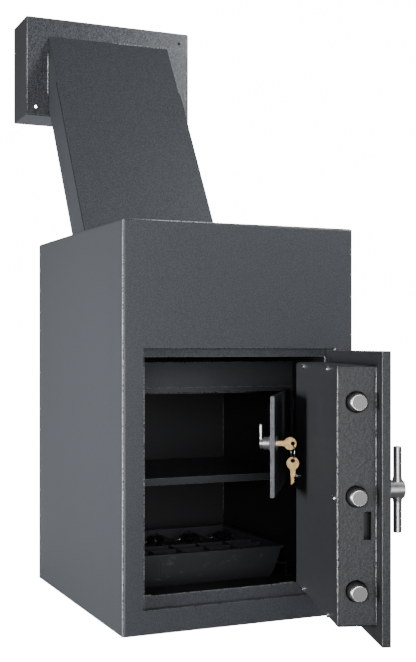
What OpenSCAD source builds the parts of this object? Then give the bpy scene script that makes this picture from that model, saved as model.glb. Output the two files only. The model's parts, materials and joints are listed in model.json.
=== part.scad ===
// Depository safe with a sloping chute and a street-side hopper hood.
// Millimetres. +Z is up, +Y runs from the door towards the wall, +X is to the right of the door.
// The origin is the centre of the cabinet's underside.

/* [Cabinet] */
// Cabinet width
body_w = 400; // [396:1:404]
// Cabinet depth
body_d = 484; // [480:1:490]
// Cabinet height
body_h = 632; // [630:1:640]
// Outer sheet thickness
shell_t = 3; // [2.5:0.5:3.5]
// Radius of the folded outside edges
fold_r = 5; // [4:0.5:6]
// Thickness of the insulated walls, from outer sheet to liner face
wall_t = 30; // [29:0.5:31]

/* [Door opening] */
// Half width of the opening
open_hw = 166.3; // [165.5:0.1:167]
// Height of the opening's lower edge
open_z0 = 37.5; // [36.5:0.5:37.5]
// Height of the opening's upper edge
open_z1 = 435.4; // [435:0.1:437]

/* [Main door] */
// Angle the main door stands open at
door_open = 73.1; // [60:0.1:80]
// Thickness of the door plate
plate_t = 12; // [11:0.5:12]
// Depth of the boltwork housing behind the plate
housing_d = 55; // [54:0.5:56]
// Diameter of the locking bolts
bolt_d = 25; // [24:0.5:25]
// How far the bolts stand out of the housing
bolt_out = 18.6; // [15:0.1:20]

/* [Deposit compartment] */
// Angle the inner door stands open at
inner_open = 57.9; // [40:0.1:60]
// Y of the compartment's front face
locker_y = -86.5; // [-90:0.5:-86]
// Height of the shelf's top face
shelf_z = 218; // [215:0.5:220]
// Height of the header panel's lower edge
header_z = 361; // [358:0.5:363]

/* [Chute] */
// Slope of the chute below the horizontal
chute_slope = 58.7; // [58:0.1:59.5]
// Y of the wall plate's face
head_y = 423; // [420:1:426]
// Height of the chute's upper plate at the wall plate
chute_top_z = 1081; // [1080:1:1082]
// Height of the chute's lower plate at the wall plate
chute_low_z = 947; // [946:1:948]
// Half width of the upper duct
duct_hw = 131; // [130:0.5:132]

/* [Hood] */
// Half width of the hood
hood_hw = 180; // [178:1:182]
// Height of the hood's underside
hood_z0 = 914; // [912:1:915]
// Height of the hood's top
hood_z1 = 1118; // [1117:1:1120]
// Depth of the hood
hood_d = 102; // [98:1:106]

/* [Hidden] */
$fn = 48;
run = 0.05;

hw = body_w / 2;
front_y = -body_d / 2;
back_y = body_d / 2;
in_hw = hw - wall_t;
floor_z = 38;
ceil_z = body_h - wall_t;
liner_t = 2;
board_out = hw - shell_t;
board_in = in_hw + liner_t;
board_floor_z = floor_z - liner_t;
board_ceil_z = ceil_z + liner_t;
liner_back_y = 212;
base_t = 4;
anchor_x = 130;
anchor_ys = [-150, 190];
anchor_r = 7;
well_hw = 16;
board_gap = 0.5;
back_t = 3;
return_d = 14;
stop_y = front_y + return_d;
stop_t = 3;
stop_hw = 155;
bolt_side_lip = 1.2;
stop_z0 = 56;
stop_z1 = 422;
locker_frame_d = 15;
locker_hw = 126;
header_top = 412;
cam_gap = 2;

hinge_x = 173.3;
hinge_y = -258.3;
knuckle_r = 8;
pin_r = 4;
hinge_zs = [90, 320];
knuckle_h = 22;

door_hw = 164.3;
door_z0 = 39.5;
door_z1 = 432.5;
plate_y = front_y + plate_t;
house_x0 = -138.1;
house_x1 = 149.8;
house_z0 = 61.6;
house_z1 = 413.3;
house_t = 2.5;
house_y = plate_y + housing_d;
bolt_y = plate_y + 28.5;
bolt_zs = [110, 237, 364];
bolt_r = bolt_d / 2;
bolt_tip_x = house_x0 - bolt_out;
handle_z = 228;
crank_r = 24;
crank_pin_r = 4;
spindle_r = 9;
hub_r = 14.5;
grip_r = 6.3;
grip_y = 55.5;
grip_len = 63.5;
dial_z = 338;
dial_spindle_r = 4;

inner_x = 160;
inner_y = -90;
inner_t = 6;
inner_hw_x0 = -140;
inner_z0 = 212.5;
inner_z1 = 364;
inner_knuckle_r = 5;
inner_pin_r = 2.5;
inner_pin_zs = [226, 328];
inner_pin_h = 18;
inner_knuckle_z0 = shelf_z + 1.5;
inner_knuckle_z1 = header_z - 1.5;
lock_x = -105;
lock_z = 291;
barrel_back = inner_y + 16.4;
plug_r = 6;
barrel_r = 9.5;
bow_r = 9.7;
bow_y = -113.8;
bow_hole = 4;
key_hole_y = bow_y - bow_hole;
key_hole_r = 3.1;
key_t = 2.2;
ring_r = 11;
ring_skew = 18;
wire_r = 0.9;
ring_gap = 0.2;

chute_t = 3;
slope_z = sin(chute_slope);
chute_thick = (chute_top_z - chute_low_z) * cos(chute_slope);
chute_len = (chute_top_z - ceil_z) / slope_z + 2;
sleeve_hw = duct_hw + 4;
sleeve_y0 = 128;
sleeve_y1 = 235;

wall_plate_t = 3;
plate_back_y = head_y + wall_plate_t;
lip_inset = 2;
joint_run = 14.4;
lip_hw = duct_hw + 0.5;
lip_h = 6;
hood_t = 2.7;
mount_x = 159;
mount_z0 = 933;
mount_z1 = 1096;
mount_r = 3;

axle_y = 431;
axle_z = 964;
axle_r = 3.5;
ear_x = 128;
ear_h = 11;
hopper_r = 60;
hopper_hw = 124.5;
cheek_boss_r = 7.5;
flap_hw = 134;
pull_hw = 70;
cheek_t = 2.5;
tube_r = 7;
hopper_slope = 28;

tray_hw = 148;
tray_wall_hw = 141;
tray_base_hw = 124;
tray_y0 = -100;
tray_y1 = 150;
tray_z0 = floor_z + 0.1;
tray_z1 = floor_z + 54;
tray_rim = 4;
tray_t = 2.5;
rib_x = 82;
divider_t = 2.4;
divider_z = tray_z1 - 6;
cup_ys = [-62, -25, 11.5];
cup_pitch = 52;
clip_y = 92;
clip_z = tray_z1 - 12;
clip_rod_r = 1.5;
clip_pitch = 66;
clip_xs = [for (i = [0:3]) (i - 1.5) * clip_pitch];

charcoal = [0.20, 0.21, 0.23];
liner_grey = [0.14, 0.145, 0.155];
steel = [0.72, 0.72, 0.73];
satin = [0.62, 0.63, 0.65];
key_brass = [0.72, 0.62, 0.42];
board_white = [0.82, 0.80, 0.75];
black = [0.09, 0.09, 0.10];

// ---------------------------------------------------------------- shared shapes

// Box from low and high corners.
module box(lo, hi) {
  translate(lo) cube(hi - lo);
}

// Rectangle with round corners, from low and high corners.
module round_rect(lo, hi, r) {
  translate([lo[0] + r, lo[1]]) square([hi[0] - lo[0] - 2 * r, hi[1] - lo[1]]);
  translate([lo[0], lo[1] + r]) square([hi[0] - lo[0], hi[1] - lo[1] - 2 * r]);
  for (x = [lo[0] + r, hi[0] - r], y = [lo[1] + r, hi[1] - r]) translate([x, y]) circle(r);
}

// Plate in the XZ plane, between two Y planes.
module xz_plate(y0, y1) {
  translate([0, y1, 0]) rotate([90, 0, 0]) linear_extrude(y1 - y0) children();
}

// Plate in the YZ plane, between two X planes.
module yz_plate(x0, x1) {
  translate([x0, 0, 0]) rotate([90, 0, 90]) linear_extrude(x1 - x0) children();
}

// Cylinder along Y from y0 to y1.
module rod_y(x, z, r, y0, y1) {
  translate([x, y1, z]) rotate([90, 0, 0]) cylinder(r = r, h = y1 - y0);
}

// Cylinder along X from x0 to x1.
module rod_x(y, z, r, x0, x1) {
  translate([x0, y, z]) rotate([0, 90, 0]) cylinder(r = r, h = x1 - x0);
}

// Turns the closed main door to the angle it stands open at.
module door_pose() {
  translate([hinge_x, hinge_y, 0]) rotate([0, 0, door_open]) translate([-hinge_x, -hinge_y, 0]) children();
}

// Turns the closed inner door to the angle it stands open at.
module inner_pose() {
  translate([inner_x, inner_y, 0]) rotate([0, 0, inner_open]) translate([-inner_x, -inner_y, 0]) children();
}

// Frame whose local X is the cabinet's X, local Y runs down the slope and local Z points across
// the chute towards the room. Its origin is where the lower plate meets the wall plate.
module chute_frame() {
  translate([0, head_y, chute_low_z]) rotate([chute_slope - 180, 0, 0]) mirror([0, 0, 1]) children();
}

// Everything from the ceiling's underside up to the back of the wall plate.
module chute_limits() {
  box([-hw, front_y, ceil_z - 4], [hw, plate_back_y, hood_z1]);
}

// Square wells over the floor anchors, from z0 to z1.
module anchor_wells(z0, z1) {
  for (x = [-anchor_x, anchor_x], y = anchor_ys)
    box([x - well_hw, y - well_hw, z0], [x + well_hw, y + well_hw, z1]);
}

// ---------------------------------------------------------------- cabinet

module outer_shell() {
  color(charcoal) difference() {
    intersection() {
      linear_extrude(body_h) union() {
        round_rect([-hw, front_y], [hw, back_y], fold_r);
        translate([-hw, 0]) square([body_w, back_y]);
      }
      xz_plate(front_y, back_y) union() {
        round_rect([-hw, 0], [hw, body_h], fold_r);
        translate([-hw, 0]) square([body_w, body_h / 2]);
      }
      yz_plate(-hw, hw) union() {
        round_rect([front_y, 0], [back_y, body_h], fold_r);
        translate([front_y, 0]) square([body_d, body_h / 2]);
        square([back_y, body_h]);
      }
    }
    difference() {
      box([-board_out, front_y + shell_t, -1], [board_out, back_y + 1, body_h - shell_t]);
      difference() {
        box([-open_hw - shell_t, front_y, open_z0 - shell_t], [open_hw + shell_t, stop_y, open_z1 + shell_t]);
        for (x = [-open_hw, open_hw], z = [open_z0, open_z1])
          translate([x, front_y + shell_t + return_d / 2, z])
            rotate([0, 45, 0]) cube([9, return_d, 9], center = true);
      }
    }
    box([-open_hw, front_y - 1, open_z0], [open_hw, stop_y + 1, open_z1]);
    box([-sleeve_hw - 0.5, sleeve_y0 + 19, ceil_z], [sleeve_hw + 0.5, sleeve_y1 - 1.5, body_h + 1]);
  }
}

module base_plate() {
  color(charcoal) difference() {
    box([-board_out, front_y + shell_t, 0], [board_out, back_y - back_t, base_t]);
    for (x = [-anchor_x, anchor_x], y = anchor_ys)
      translate([x, y, -1]) cylinder(r = anchor_r, h = base_t + 2);
  }
}

module back_panel() {
  color(charcoal) box([-board_out, back_y - back_t, 0], [board_out, back_y, body_h - shell_t]);
}

// Side board, with pockets for the thrown bolts where strikes is true.
module side_board(x0, x1, strikes) {
  color(board_white) difference() {
    box([x0, front_y + shell_t, base_t], [x1, back_y - back_t, body_h - shell_t]);
    box([-open_hw - shell_t - 0.2, front_y, open_z0 - shell_t - 0.2],
        [open_hw + shell_t + 0.2, stop_y + stop_t + 0.2, open_z1 + shell_t + 0.2]);
    if (strikes) for (z = bolt_zs) rod_x(bolt_y, z, bolt_r + 2, -in_hw - 14, -in_hw + 1);
  }
}

module board_left() {
  side_board(-board_out, -board_in, true);
}

module board_right() {
  side_board(board_in, board_out, false);
}

module board_back() {
  color(board_white) difference() {
    box([-board_in, liner_back_y + liner_t, base_t], [board_in, back_y - back_t, body_h - shell_t]);
    sleeve_room();
  }
}

// Floor boards laid in rows, leaving the anchor wells open between the blocks of two rows.
module board_floor() {
  y0 = stop_y + stop_t;
  y1 = liner_back_y + liner_t;
  wells = [for (y = anchor_ys) [y - well_hw, y + well_hw]];
  color(board_white) {
    for (row = [[y0, wells[0][0]], [wells[0][1], wells[1][0]], [wells[1][1], y1]])
      box([-board_in, row[0] + board_gap, base_t], [board_in, row[1] - board_gap, board_floor_z]);
    for (row = wells) {
      box([-anchor_x + well_hw, row[0], base_t], [anchor_x - well_hw, row[1], board_floor_z]);
      for (s = [-1, 1]) translate([s * (board_in + anchor_x + well_hw) / 2, (row[0] + row[1]) / 2, base_t])
        linear_extrude(board_floor_z - base_t)
          square([board_in - anchor_x - well_hw, 2 * well_hw], center = true);
    }
  }
}

// Room left in the ceiling and the back wall for the chute's sleeve.
module sleeve_room() {
  box([-sleeve_hw - 1, sleeve_y0, ceil_z - 5], [sleeve_hw + 1, sleeve_y1, body_h]);
}

module board_ceiling() {
  color(board_white) difference() {
    box([-board_in, front_y + wall_t, board_ceil_z], [board_in, liner_back_y + liner_t, body_h - shell_t]);
    sleeve_room();
  }
}

module board_front() {
  color(board_white)
    box([-board_in, front_y + shell_t, open_z1 + shell_t + 2],
        [board_in, front_y + wall_t, body_h - shell_t]);
}

module inner_liner() {
  color(liner_grey) difference() {
    box([-board_in, stop_y + stop_t, board_floor_z], [board_in, liner_back_y + liner_t, board_ceil_z]);
    box([-in_hw, stop_y, floor_z], [in_hw, liner_back_y, ceil_z]);
    box([-board_in - 1, stop_y - 1, open_z1 + shell_t], [board_in + 1, front_y + wall_t, board_ceil_z + 1]);
    sleeve_room();
    anchor_wells(base_t, floor_z + 1);
    for (z = bolt_zs) rod_x(bolt_y, z, bolt_r + 2, -in_hw - 14, -in_hw + 1);
  }
}

module door_stop_frame() {
  color(charcoal) difference() {
    box([-open_hw - shell_t, stop_y, open_z0 - shell_t],
        [open_hw + shell_t, stop_y + stop_t, open_z1 + shell_t]);
    box([-open_hw + bolt_side_lip, stop_y - 1, stop_z0], [stop_hw, stop_y + stop_t + 1, stop_z1]);
  }
}

// ---------------------------------------------------------------- deposit compartment

module deposit_shelf() {
  color(charcoal) union() {
    box([-in_hw, locker_y, shelf_z - 2], [in_hw, liner_back_y, shelf_z]);
    box([-in_hw, locker_y, shelf_z - 12], [in_hw, locker_y + 2, shelf_z]);
    box([-in_hw, locker_y, shelf_z - 12], [in_hw, locker_y + 14, shelf_z - 10]);
  }
}

module header_panel() {
  color(charcoal) union() {
    box([-in_hw, locker_y + 2, header_z], [in_hw, locker_y + 4, header_top]);
    box([-in_hw, locker_y, header_z], [in_hw, locker_y + 4, header_z + 8]);
    box([-in_hw, locker_y, header_z], [in_hw, locker_y + 14, header_z + 2]);
  }
}

module locker_upright_left() {
  color(charcoal) difference() {
    box([-in_hw, locker_y, shelf_z], [-locker_hw, locker_y + locker_frame_d, header_z]);
    box([-in_hw + 2, locker_y + 2, shelf_z - 1],
        [-locker_hw - 2, locker_y + locker_frame_d + 1, header_z + 1]);
  }
}

module locker_upright_right() {
  color(charcoal) union() {
    box([in_hw - 3, locker_y, shelf_z], [in_hw, locker_y + 30, header_z]);
    for (z = inner_pin_zs) difference() {
      union() {
        translate([inner_x, inner_y, z]) cylinder(r = inner_knuckle_r, h = inner_pin_h);
        box([inner_x, inner_y, z], [in_hw - 3, inner_y + 5, z + inner_pin_h]);
        box([in_hw - 5, inner_y, z], [in_hw, inner_y + 5, z + inner_pin_h]);
      }
      translate([inner_x, inner_y, z - 1]) cylinder(r = inner_pin_r, h = inner_pin_h + 2);
    }
  }
}

module inner_hinge_pins() {
  color(steel) for (z = inner_pin_zs)
    translate([inner_x, inner_y, z - 6]) cylinder(r = inner_pin_r, h = inner_pin_h + 12);
}

// ---------------------------------------------------------------- chute and hood

// Rectangular tube along the slope, from y0 to y1 down it.
module slope_tube(half_w, y0, y1) {
  intersection() {
    chute_frame() difference() {
      box([-half_w, y0, 0], [half_w, y1, chute_thick]);
      box([-half_w + chute_t, y0 - 1, chute_t], [half_w - chute_t, y1 + 1, chute_thick - chute_t]);
    }
    chute_limits();
  }
}

// Lower, wider part of the chute, up to a square joint near its head.
module chute_sleeve() {
  color(charcoal) slope_tube(sleeve_hw, joint_run, chute_len + 60);
}

// Upper duct, with a lip that closes the wall plate's opening under its lower plate.
module chute_duct() {
  color(charcoal) union() {
    slope_tube(duct_hw, -200, joint_run);
    box([-lip_hw, head_y + lip_inset, chute_low_z - lip_h], [lip_hw, plate_back_y - 0.3, chute_low_z + 8]);
  }
}

module wall_plate() {
  color(charcoal) difference() {
    box([-hood_hw + hood_t, head_y, hood_z0 + hood_t], [hood_hw - hood_t, plate_back_y, hood_z1 - hood_t]);
    chute_frame() box([-duct_hw, -200, 0], [duct_hw, chute_len, chute_thick]);
    box([-lip_hw, head_y - 1, chute_low_z - lip_h], [lip_hw, plate_back_y + 1, chute_low_z + lip_h]);
    for (x = [-mount_x, mount_x], z = [mount_z0, mount_z1])
      rod_y(x, z, mount_r, head_y - 1, plate_back_y + 1);
  }
}

module hood_box() {
  color(charcoal) difference() {
    xz_plate(head_y, head_y + hood_d) round_rect([-hood_hw, hood_z0], [hood_hw, hood_z1], 3);
    box([-hood_hw + hood_t, head_y - 1, hood_z0 + hood_t],
        [hood_hw - hood_t, head_y + hood_d + 1, hood_z1 - hood_t]);
  }
}

module hopper_ears() {
  color(charcoal) for (s = [-1, 1]) difference() {
    box([s * ear_x - 1.5, plate_back_y, axle_z - ear_h], [s * ear_x + 1.5, axle_y + ear_h, axle_z + ear_h]);
    rod_x(axle_y, axle_z, axle_r, s * ear_x - 3, s * ear_x + 3);
  }
}

module hopper_rod() {
  color(steel) rod_x(axle_y, axle_z, axle_r, -ear_x - 4, ear_x + 4);
}

module hopper_tube() {
  color(charcoal) difference() {
    rod_x(axle_y, axle_z, tube_r, -hopper_hw + cheek_t, hopper_hw - cheek_t);
    rod_x(axle_y, axle_z, axle_r + run, -hopper_hw, hopper_hw);
  }
}

module hopper_door() {
  color(charcoal) difference() {
    union() {
      box([-hopper_hw, axle_y - 2.5, axle_z], [hopper_hw, axle_y, axle_z + 24]);
      box([-flap_hw, axle_y - 2.5, axle_z + 20], [flap_hw, axle_y, chute_top_z + 9]);
      box([-pull_hw, axle_y - 2.5, chute_top_z + 6.5], [pull_hw, axle_y + 22, chute_top_z + 9]);
      box([-pull_hw, axle_y + 20, chute_top_z - 1], [pull_hw, axle_y + 22, chute_top_z + 9]);
    }
    rod_x(axle_y, axle_z, tube_r, -hood_hw, hood_hw);
  }
}

// Sector outline in the YZ plane, from the door to the tray plate.
function sector(r, a0, a1, n) = concat([[0, 0]], [for (i = [0:n]) r * [cos(a0 + (a1 - a0) * i / n),
                                                                 sin(a0 + (a1 - a0) * i / n)]]);

module hopper_cheeks() {
  color(charcoal) for (s = [-1, 1]) difference() {
    translate([s * (hopper_hw - cheek_t / 2), 0, 0]) yz_plate(-cheek_t / 2, cheek_t / 2) difference() {
      union() {
        translate([axle_y, axle_z]) polygon(sector(hopper_r, 92.5, 180 + hopper_slope, 24));
        translate([axle_y, axle_z]) circle(cheek_boss_r);
      }
      translate([axle_y - 2.5, axle_z]) square([40, 80]);
    }
    rod_x(axle_y, axle_z, axle_r + run, -hood_hw, hood_hw);
  }
}

module hopper_tray() {
  color(charcoal) difference() {
    translate([0, axle_y, axle_z]) rotate([hopper_slope, 0, 0])
      box([-hopper_hw + cheek_t, -hopper_r, -1], [hopper_hw - cheek_t, 0, 1]);
    rod_x(axle_y, axle_z, tube_r, -hood_hw, hood_hw);
  }
}

module hopper_counterweight() {
  color(steel) translate([0, axle_y, axle_z]) rotate([hopper_slope, 0, 0])
    box([-hopper_hw + 6, -hopper_r + 1, 1], [hopper_hw - 6, -hopper_r + 17, 11]);
}

// ---------------------------------------------------------------- main door hinges

module cabinet_hinge_leaves() {
  color(charcoal) for (z = hinge_zs) difference() {
    union() {
      box([hinge_x + 4, front_y - 4, z], [hinge_x + 24, front_y, z + 3 * knuckle_h]);
      for (k = [0, 2]) translate([0, 0, z + k * knuckle_h + 0.2]) {
        translate([hinge_x, hinge_y, 0]) cylinder(r = knuckle_r, h = knuckle_h - 0.4);
        linear_extrude(knuckle_h - 0.4) polygon([[hinge_x + 2, hinge_y - 7.5], [hinge_x + 22, front_y - 2],
                                                [hinge_x + 6, front_y - 2], [hinge_x, hinge_y + 7]]);
      }
    }
    translate([hinge_x, hinge_y, z - 1]) cylinder(r = pin_r + run, h = 3 * knuckle_h + 2);
  }
}

module hinge_pins() {
  color(steel) for (z = hinge_zs) translate([hinge_x, hinge_y, z - 2]) {
    cylinder(r = pin_r, h = 3 * knuckle_h + 4);
    cylinder(r = 6, h = 2);
    translate([0, 0, 3 * knuckle_h + 2]) cylinder(r = 6, h = 2);
  }
}

module door_hinge_leaves() {
  color(charcoal) door_pose() for (z = hinge_zs) difference() {
    union() {
      box([hinge_x - 50, front_y - 4, z], [door_hw, front_y, z + 3 * knuckle_h]);
      translate([0, 0, z + knuckle_h + 0.2]) {
        translate([hinge_x, hinge_y, 0]) cylinder(r = knuckle_r, h = knuckle_h - 0.4);
        linear_extrude(knuckle_h - 0.4) polygon([[hinge_x - 2, hinge_y - 7.5], [hinge_x - 24, front_y - 2],
                                                [door_hw, front_y - 2], [hinge_x, hinge_y + 7]]);
      }
    }
    translate([hinge_x, hinge_y, z - 1]) cylinder(r = pin_r + run, h = 3 * knuckle_h + 2);
    for (k = [0, 2])
      translate([hinge_x, hinge_y, z + k * knuckle_h]) cylinder(r = knuckle_r + 0.8, h = knuckle_h);
  }
}

// ---------------------------------------------------------------- main door

module door_plate() {
  color(charcoal) door_pose() difference() {
    xz_plate(front_y, plate_y) round_rect([-door_hw, door_z0], [door_hw, door_z1], 2);
    rod_y(0, handle_z, spindle_r + 1, front_y - 1, plate_y + 1);
    rod_y(0, dial_z, dial_spindle_r + 1, front_y - 1, plate_y + 1);
  }
}

module boltwork_housing() {
  color(charcoal) door_pose() difference() {
    xz_plate(plate_y, house_y - 2) round_rect([house_x0, house_z0], [house_x1, house_z1], 3);
    xz_plate(plate_y - 1, house_y - 2 - house_t)
      round_rect([house_x0 + house_t, house_z0 + house_t], [house_x1 - house_t, house_z1 - house_t], 1);
    box([house_x0 + 16, plate_y, house_z0 + 16], [house_x1 - 16, house_y + 1, house_z1 - 16]);
    for (z = bolt_zs) rod_x(bolt_y, z, bolt_r + 2.5, house_x0 - 1, house_x0 + house_t + 1);
    box([house_x0 - 1, plate_y + 8, 178.5], [house_x0 + house_t + 1, plate_y + 18.4, 216.5]);
    for (p = cover_screw_places()) rod_y(p[0], p[1], 2, house_y - 10, house_y + 1);
  }
}

module boltwork_cover() {
  color(charcoal) door_pose() difference() {
    xz_plate(house_y - 2, house_y) round_rect([house_x0 + 2, house_z0 + 2], [house_x1 - 2, house_z1 - 2], 3);
    for (p = cover_screw_places()) rod_y(p[0], p[1], 2, house_y - 10, house_y + 1);
  }
}

// Screw places, 7 mm in from the long edges and 25 mm in at mid height.
function cover_screw_places() = concat(
  [for (x = [house_x0 + 51.6, house_x1 - 68.3], z = [house_z0 + 6, house_z1 - 6]) [x, z]],
  [for (x = [house_x0 + 11, house_x1 - 11]) [x, (house_z0 + house_z1) / 2 - 3.5]]);

module cover_screws() {
  color(steel) door_pose() for (p = cover_screw_places()) {
    rod_y(p[0], p[1], 2, house_y - 9, house_y);
    difference() {
      rod_y(p[0], p[1], 4.5, house_y, house_y + 2.6);
      translate([p[0], house_y + 2.6, p[1]]) cube([6, 2.4, 1.2], center = true);
      translate([p[0], house_y + 2.6, p[1]]) cube([1.2, 2.4, 6], center = true);
    }
  }
}

module bolt_guide_rail() {
  color(satin) door_pose() difference() {
    union() {
      box([-118, plate_y + 12, 84], [-110, plate_y + 45, 390]);
      box([-118, plate_y, 84], [-115, plate_y + 14, 390]);
    }
    for (z = bolt_zs) rod_x(bolt_y, z, bolt_r + run, -125, -100);
  }
}

module locking_bolts() {
  color(steel) door_pose() for (z = bolt_zs) {
    rod_x(bolt_y, z, bolt_r, bolt_tip_x + 2, -92);
    translate([bolt_tip_x, bolt_y, z]) rotate([0, 90, 0]) cylinder(r1 = bolt_r - 2, r2 = bolt_r, h = 2);
  }
}

module bolt_carrier() {
  color(satin) door_pose() difference() {
    union() {
      box([-92, bolt_y - 6, 92], [-82, bolt_y + 6, 382]);
      box([-82, bolt_y - 3, handle_z + 4], [14, bolt_y + 3, handle_z + crank_r + 20]);
    }
    box([-crank_pin_r - 1, bolt_y - 5, handle_z + 10],
        [crank_pin_r + 1, bolt_y + 5, handle_z + crank_r + 10]);
    rod_y(0, handle_z, spindle_r + 3, bolt_y - 5, bolt_y + 5);
  }
}

module handle_escutcheon() {
  color(satin) door_pose() difference() {
    union() {
      rod_y(0, handle_z, 27, front_y - 3, front_y);
      rod_y(0, handle_z, 18, front_y - 9, front_y - 3);
    }
    rod_y(0, handle_z, spindle_r + run, front_y - 10, front_y + 1);
  }
}

module t_handle() {
  color(satin) door_pose() union() {
    rod_y(0, handle_z, spindle_r, front_y - 20, plate_y + 22);
    translate([0, front_y - 9.5, handle_z]) rotate([90, 0, 0]) cylinder(r1 = hub_r, r2 = hub_r - 1, h = 54);
    translate([0, front_y - 63.5, handle_z]) rotate([90, 0, 0])
      cylinder(r1 = hub_r - 1, r2 = hub_r - 2.5, h = 1.5);
    for (s = [-1, 1]) translate([0, front_y - grip_y, handle_z]) rotate([90 - 90 * s, 0, 0]) {
      cylinder(r = grip_r, h = grip_len - 1);
      cylinder(r1 = hub_r - 4.5, r2 = grip_r, h = 20);
      translate([0, 0, grip_len - 1]) cylinder(r1 = grip_r, r2 = grip_r - 1, h = 1);
    }
  }
}

module crank() {
  color(satin) door_pose() difference() {
    union() {
      xz_plate(bolt_y - 11, bolt_y - 4) union() {
        translate([0, handle_z]) circle(15);
        translate([0, handle_z + crank_r]) circle(8);
        translate([-8, handle_z]) square([16, crank_r]);
      }
      rod_y(0, handle_z + crank_r, crank_pin_r, bolt_y - 6, bolt_y + 6);
    }
    rod_y(0, handle_z, spindle_r, bolt_y - 20, bolt_y + 10);
  }
}

module dial_ring() {
  color(satin) door_pose() difference() {
    union() {
      rod_y(0, dial_z, 40, front_y - 5, front_y);
      translate([0, front_y - 5, dial_z]) rotate([90, 0, 0]) cylinder(r1 = 40, r2 = 37, h = 3);
    }
    rod_y(0, dial_z, 34, front_y - 10, front_y - 3);
    rod_y(0, dial_z, dial_spindle_r + 1, front_y - 10, front_y + 1);
  }
}

module combination_dial() {
  color(black) door_pose() union() {
    translate([0, front_y - 3.5, dial_z]) rotate([90, 0, 0]) cylinder(r1 = 33, r2 = 31, h = 8);
    rod_y(0, dial_z, 19, front_y - 22, front_y - 10);
    rod_y(0, dial_z, 16, front_y - 30, front_y - 21);
    for (i = [0:11]) rotate_about_dial(i * 30) rod_y(18.6, dial_z, 1.6, front_y - 22, front_y - 10);
    rod_y(0, dial_z, dial_spindle_r, front_y - 12, plate_y + 26);
  }
}

module rotate_about_dial(a) {
  translate([0, 0, dial_z]) rotate([0, a, 0]) translate([0, 0, -dial_z]) children();
}

module lock_case() {
  color(satin) door_pose() difference() {
    box([-42, plate_y, dial_z - 30], [42, plate_y + 30, dial_z + 30]);
    box([-39, plate_y + 3, dial_z - 27], [39, plate_y + 27, dial_z + 27]);
    rod_y(0, dial_z, dial_spindle_r + run, plate_y - 1, plate_y + 4);
  }
}

module lock_wheels() {
  color(key_brass) door_pose() for (y = [8, 14, 20]) difference() {
    rod_y(0, dial_z, 22, plate_y + y, plate_y + y + 3);
    rod_y(0, dial_z, dial_spindle_r, plate_y + y - 1, plate_y + y + 4);
    translate([0, plate_y + y, dial_z + 20]) cube([4, 12, 8], center = true);
  }
}

// ---------------------------------------------------------------- inner door and its lock

module inner_door() {
  color(charcoal) inner_pose() difference() {
    union() {
      box([inner_hw_x0, inner_y - inner_t / 2, inner_z0], [inner_x, inner_y + inner_t / 2, inner_z1]);
      translate([inner_x, inner_y, inner_knuckle_z0])
        cylinder(r = inner_knuckle_r, h = inner_knuckle_z1 - inner_knuckle_z0);
    }
    for (z = inner_pin_zs)
      translate([inner_x, inner_y, z - 6.2]) cylinder(r = inner_pin_r + run, h = inner_pin_h + 12.4);
    for (z = inner_pin_zs)
      box([inner_x - 9, inner_y - 12, z - 0.3], [inner_x + 9, inner_y + 12, z + inner_pin_h + 0.3]);
    rod_y(lock_x, lock_z, 9.5, inner_y - 10, inner_y + 10);
  }
}

module lock_cylinder() {
  color(steel) inner_pose() difference() {
    union() {
      rod_y(lock_x, lock_z, barrel_r, inner_y - 4, barrel_back);
      rod_y(lock_x, lock_z, 11.3, inner_y - 5, inner_y - 3);
    }
    rod_y(lock_x, lock_z, plug_r + run, inner_y - 6, inner_y + 21);
  }
}

module lock_nut() {
  color(steel) inner_pose() difference() {
    translate([lock_x, inner_y + 7, lock_z]) rotate([90, 0, 0]) cylinder(r = 13.5, h = 4, $fn = 6);
    rod_y(lock_x, lock_z, barrel_r, inner_y + 2, inner_y + 8);
  }
}

module lock_plug() {
  color(steel) inner_pose() difference() {
    union() {
      rod_y(lock_x, lock_z, plug_r, inner_y - 5.6, barrel_back + 6);
      rod_y(lock_x, lock_z, 8, barrel_back + 0.2, barrel_back + cam_gap + 0.8);
    }
    box([lock_x - 1.2, inner_y - 6, lock_z - 4.4], [lock_x + 1.2, inner_y + 12, lock_z + 4.4]);
  }
}

module lock_cam() {
  color(steel) inner_pose() difference() {
    xz_plate(barrel_back + cam_gap + 0.8, barrel_back + cam_gap + 3.3) union() {
      translate([lock_x, lock_z]) circle(9);
      translate([lock_x - 7, lock_z]) square([14, 29]);
    }
    rod_y(lock_x, lock_z, plug_r, inner_y + 15, inner_y + 30);
  }
}

// Key's outline, with the bow's centre at the origin and the blade along +X, bitted on the -Y side.
key_bow = [for (a = [31:6:331]) bow_r * [cos(a), sin(a)]];
key_blade = [
  [11.2, -4.1], [17.6, -4], [18, -3.1], [20.3, -3.1], [22.1, -0.9], [24.1, -3], [26.1, -1.3],
  [28.4, -2.9], [32.8, 2.2], [32, 3.1], [18, 3.1], [17.6, 4], [11.2, 4.1]];

// Flat key in the YZ plane with its blade along +Y, its bow's centre at y = 0 and z = 0.
module flat_key() {
  difference() {
    yz_plate(-key_t / 2, key_t / 2) polygon(concat(key_bow, key_blade));
    rod_x(-bow_hole, 0, key_hole_r, -key_t, key_t);
  }
}

module inner_key() {
  color(key_brass) inner_pose() translate([lock_x, bow_y, lock_z]) flat_key();
}

// Heights of the ring's centre and of the hole the spare key hangs by.
ring_z = lock_z - key_hole_r + wire_r + ring_gap - ring_r;
spare_hole_z = ring_z - ring_r - key_hole_r + wire_r + ring_gap;

module key_ring() {
  color(steel) inner_pose() translate([lock_x, key_hole_y, ring_z]) rotate([90, 0, ring_skew])
    rotate_extrude() translate([ring_r, 0]) circle(wire_r, $fn = 16);
}

// Spare key, hanging by its bow's hole from the bottom of the ring.
module spare_key() {
  color(key_brass) inner_pose() translate([lock_x, key_hole_y, spare_hole_z]) rotate([-90, 0, 0])
    translate([0, bow_hole, 0]) flat_key();
}

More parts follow.
